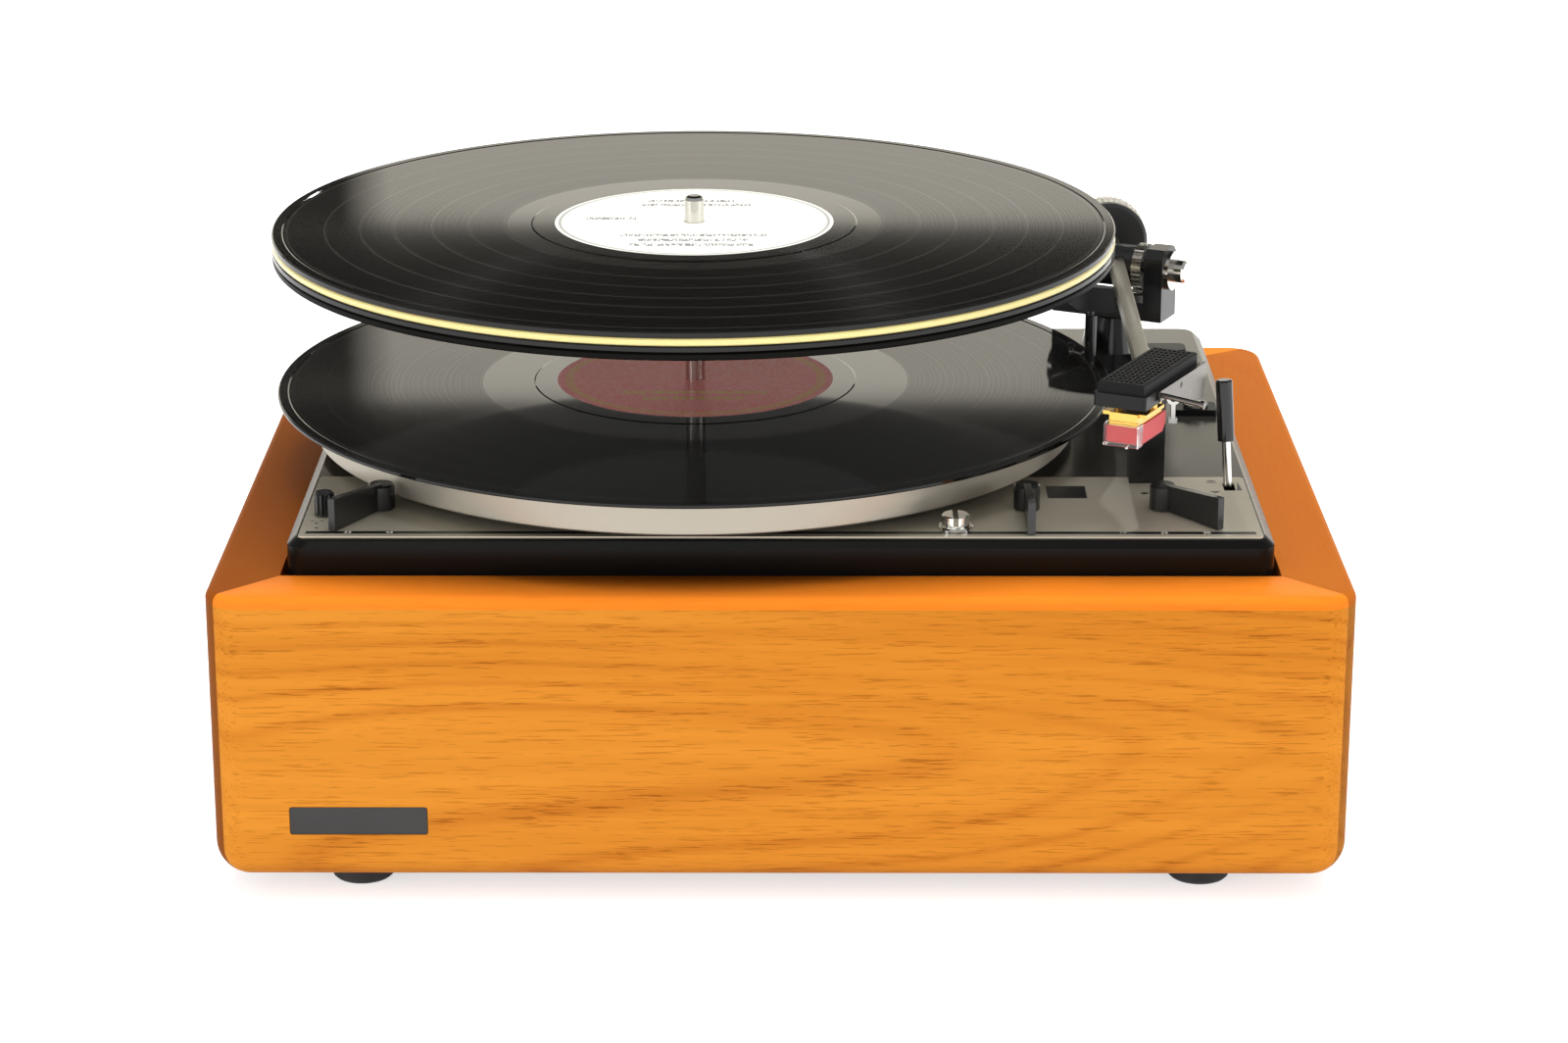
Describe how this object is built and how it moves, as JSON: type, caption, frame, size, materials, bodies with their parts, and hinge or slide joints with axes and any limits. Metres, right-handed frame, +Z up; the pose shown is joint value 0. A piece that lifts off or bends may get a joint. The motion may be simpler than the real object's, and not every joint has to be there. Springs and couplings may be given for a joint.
{
  "type": "record changer turntable",
  "caption": "Wood-cased turntable with grey deck, changer spindle holding a record stack, platter, gimballed square tonearm, perforated headshell, cueing and control levers.",
  "frame": {"origin": "floor level under the middle of the whole object", "axes": "+Z up, +X towards the tonearm side, -Y towards the control levers"},
  "size_m": [0.3816, 0.3106, 0.2073],
  "materials": {
    "walnut_front": "satin oiled timber",
    "walnut_side": "satin oiled timber",
    "walnut_back": "satin oiled timber",
    "plywood": "raw board",
    "rail_wood": "raw batten",
    "foot_rubber": "matt black",
    "grommet_rubber": "matt black",
    "damper_rubber": "matt black foam and spring cup",
    "screw_steel": "bright plated",
    "pan_paint": "warm grey satin",
    "plate_paint": "dark grey satin",
    "transport_chrome": "polished",
    "bearing_steel": "ground",
    "race_steel": "ground",
    "platter_metal": "satin turned",
    "rim_metal": "satin turned",
    "mat_rubber": "ribbed black",
    "vinyl": "grooved black vinyl",
    "vinyl_second": "translucent straw vinyl",
    "label_low": "plain red label",
    "label_high": "plain white label",
    "spindle_chrome": "polished",
    "tyre_rubber": "ground rubber",
    "hub_metal": "turned",
    "idler_steel": "passivated",
    "motor_paint": "grey enamel",
    "pulley_brass": "turned",
    "cam_plastic": "moulded",
    "fixing_steel": "plated",
    "lever_black": "black with a bright edge",
    "knob_metal": "turned",
    "cue_chrome": "polished wire",
    "cue_black": "glossy black",
    "bracket_steel": "plated",
    "column_black": "gloss black",
    "yoke_black": "satin black",
    "pin_chrome": "polished",
    "block_black": "satin black",
    "dial_metal": "brushed, knurled edge",
    "tube_metal": "satin square tube",
    "weight_dark": "dark knurled disc",
    "weight_light": "turned ring",
    "head_black": "satin dark grey",
    "cover_black": "satin perforated",
    "cartridge_gold": "gold plated",
    "stylus_red": "bright red",
    "guard_clear": "clear plastic",
    "cantilever_metal": "bare tube",
    "finger_metal": "polished",
    "rest_black": "gloss black",
    "clip_metal": "bright",
    "cap_black": "satin black",
    "skate_dial": "turned",
    "lift_black": "satin black"
  },
  "bodies": {
    "base": {"plinth_front": "walnut_front", "plinth_right": "walnut_side", "plinth_left": "walnut_side", "plinth_back": "walnut_back", "rubber_feet": "foot_rubber", "foot_screws": "screw_steel", "bottom_board": "plywood", "mounting_rails": "rail_wood", "suspension_dampers": "damper_rubber", "chassis_pan": "pan_paint", "control_plate": "plate_paint", "transport_screws": "transport_chrome", "rubber_grommets": "grommet_rubber", "bearing_post": "bearing_steel", "thrust_race": "race_steel", "changer_spindle": "spindle_chrome", "motor_body": "motor_paint", "under_deck_fixings": "fixing_steel", "cue_bracket": "bracket_steel", "arm_column": "column_black", "arm_rest": "rest_black", "deck_caps": "cap_black"},
    "turntable": {"platter": "platter_metal", "platter_rim": "rim_metal", "platter_mat": "mat_rubber", "playing_record": "vinyl", "playing_label": "label_low"},
    "idler_carrier": {"idler_arm": "idler_steel"},
    "idler_wheel": {"idler_tyre": "tyre_rubber", "idler_hub": "hub_metal"},
    "motor_rotor": {"motor_pulley": "pulley_brass"},
    "cam_wheel": {"cycle_cam": "cam_plastic"},
    "speed_selector": {"speed_lever": "lever_black"},
    "start_control": {"start_lever": "lever_black"},
    "size_selector": {"size_lever": "lever_black"},
    "pitch_control": {"pitch_knob": "knob_metal"},
    "cue_lever": {"cue_lever_rod": "cue_chrome", "cue_lever_grip": "cue_black"},
    "lift_platform": {"lift_bar": "lift_black"},
    "yoke": {"arm_yoke": "yoke_black", "bearing_pins": "pin_chrome"},
    "tonearm": {"arm_tube": "tube_metal", "pivot_block": "block_black", "headshell": "head_black", "headshell_cover": "cover_black", "cartridge_body": "cartridge_gold", "stylus_block": "stylus_red", "stylus_guard": "guard_clear", "cantilever": "cantilever_metal"},
    "tracking_dial": {"force_dial": "dial_metal"},
    "counterweight": {"counterweight_disc": "weight_dark", "counterweight_ring": "weight_light"},
    "head_lift": {"finger_lift": "finger_metal"},
    "rest_latch": {"rest_clip": "clip_metal"},
    "skate_control": {"antiskate_dial": "skate_dial"},
    "stacked_first": {"stack_record_1": "vinyl"},
    "stacked_second": {"stack_record_2": "vinyl"},
    "stacked_third": {"stack_record_3": "vinyl_second"},
    "stacked_top": {"stack_record_4": "vinyl", "stack_label": "label_high"}
  },
  "joints": [
    {"name": "platter_spin", "type": "hinge", "parent": "base", "child": "turntable", "pos_m": [-0.0314, 0.00105, 0.126], "axis": [0, 0, 1], "continuous": true},
    {"name": "idler_swing", "type": "hinge", "parent": "base", "child": "idler_carrier", "pos_m": [-0.15015, 0.07973, 0.111], "axis": [0, 0, 1], "range_deg": [0, 4]},
    {"name": "idler_spin", "type": "hinge", "parent": "idler_carrier", "child": "idler_wheel", "pos_m": [-0.12519, 0.0552, 0.127], "axis": [0, 0, 1], "continuous": true},
    {"name": "motor_spin", "type": "hinge", "parent": "base", "child": "motor_rotor", "pos_m": [-0.10954, 0.02809, 0.111], "axis": [0, 0, 1], "continuous": true},
    {"name": "cam_turn", "type": "hinge", "parent": "base", "child": "cam_wheel", "pos_m": [0.0106, 0.03505, 0.111], "axis": [0, 0, 1], "continuous": true},
    {"name": "speed_turn", "type": "hinge", "parent": "base", "child": "speed_selector", "pos_m": [-0.1362, -0.09771, 0.126], "axis": [0, 0, 1], "range_deg": [0, 40]},
    {"name": "start_turn", "type": "hinge", "parent": "base", "child": "start_control", "pos_m": [0.08386, -0.09774, 0.126], "axis": [0, 0, 1], "range_deg": [-18, 18], "stiffness_Nm_per_rad": 0.05},
    {"name": "size_turn", "type": "hinge", "parent": "base", "child": "size_selector", "pos_m": [0.1302, -0.09775, 0.126], "axis": [0, 0, 1], "range_deg": [-40, 0]},
    {"name": "pitch_turn", "type": "hinge", "parent": "base", "child": "pitch_control", "pos_m": [-0.1549, -0.10545, 0.126], "axis": [0, 0, 1], "range_deg": [-150, 150]},
    {"name": "cue_turn", "type": "hinge", "parent": "base", "child": "cue_lever", "pos_m": [0.1557, -0.07105, 0.1147], "axis": [1, 0, 0], "range_deg": [0, 35]},
    {"name": "lift_slide", "type": "slide", "parent": "base", "child": "lift_platform", "axis": [0, 0, 1], "range_m": [-0.0015, 0]},
    {"name": "arm_swing", "type": "hinge", "parent": "base", "child": "yoke", "pos_m": [0.1271, 0.08605, 0.15], "axis": [0, 0, 1], "range_deg": [-43, 0]},
    {"name": "arm_lift", "type": "hinge", "parent": "yoke", "child": "tonearm", "pos_m": [0.1271, 0.08605, 0.1603], "axis": [-0.9026, 0.4305, 0], "range_deg": [-2.64, 0]},
    {"name": "force_turn", "type": "hinge", "parent": "tonearm", "child": "tracking_dial", "pos_m": [0.1271, 0.08605, 0.1603], "axis": [0.9026, -0.4305, 0], "range_deg": [0, 300]},
    {"name": "weight_turn", "type": "hinge", "parent": "tonearm", "child": "counterweight", "pos_m": [0.12712, 0.11608, 0.16154], "axis": [-0.0001, 0.9998, -0.0221], "range_deg": [-180, 180]},
    {"name": "head_release", "type": "hinge", "parent": "tonearm", "child": "head_lift", "pos_m": [0.12558, -0.09546, 0.16592], "axis": [-0.9026, 0.4305, 0], "range_deg": [0, 30]},
    {"name": "latch_turn", "type": "hinge", "parent": "base", "child": "rest_latch", "pos_m": [0.13585, -0.06525, 0.15157], "axis": [0, -1, 0], "range_deg": [0, 150]},
    {"name": "skate_turn", "type": "hinge", "parent": "base", "child": "skate_control", "pos_m": [0.1528, 0.02055, 0.124], "axis": [0, 0, 1], "range_deg": [0, 270]},
    {"name": "record_lift_1", "type": "slide", "parent": "base", "child": "stacked_first", "axis": [0, 0, 1], "range_m": [0, 0.03]},
    {"name": "record_lift_2", "type": "slide", "parent": "stacked_first", "child": "stacked_second", "axis": [0, 0, 1], "range_m": [0, 0.03]},
    {"name": "record_lift_3", "type": "slide", "parent": "stacked_second", "child": "stacked_third", "axis": [0, 0, 1], "range_m": [0, 0.03]},
    {"name": "record_lift_4", "type": "slide", "parent": "stacked_third", "child": "stacked_top", "axis": [0, 0, 1], "range_m": [0, 0.03]}
  ],
  "couplings": [
    {"joint": "idler_spin", "follows": "platter_spin", "ratio": 5.344},
    {"joint": "motor_spin", "follows": "platter_spin", "ratio": -22.267},
    {"joint": "cue_turn", "follows": "arm_lift", "ratio": -13.2},
    {"joint": "lift_slide", "follows": "arm_lift", "m_per_rad": 0.0307}
  ]
}
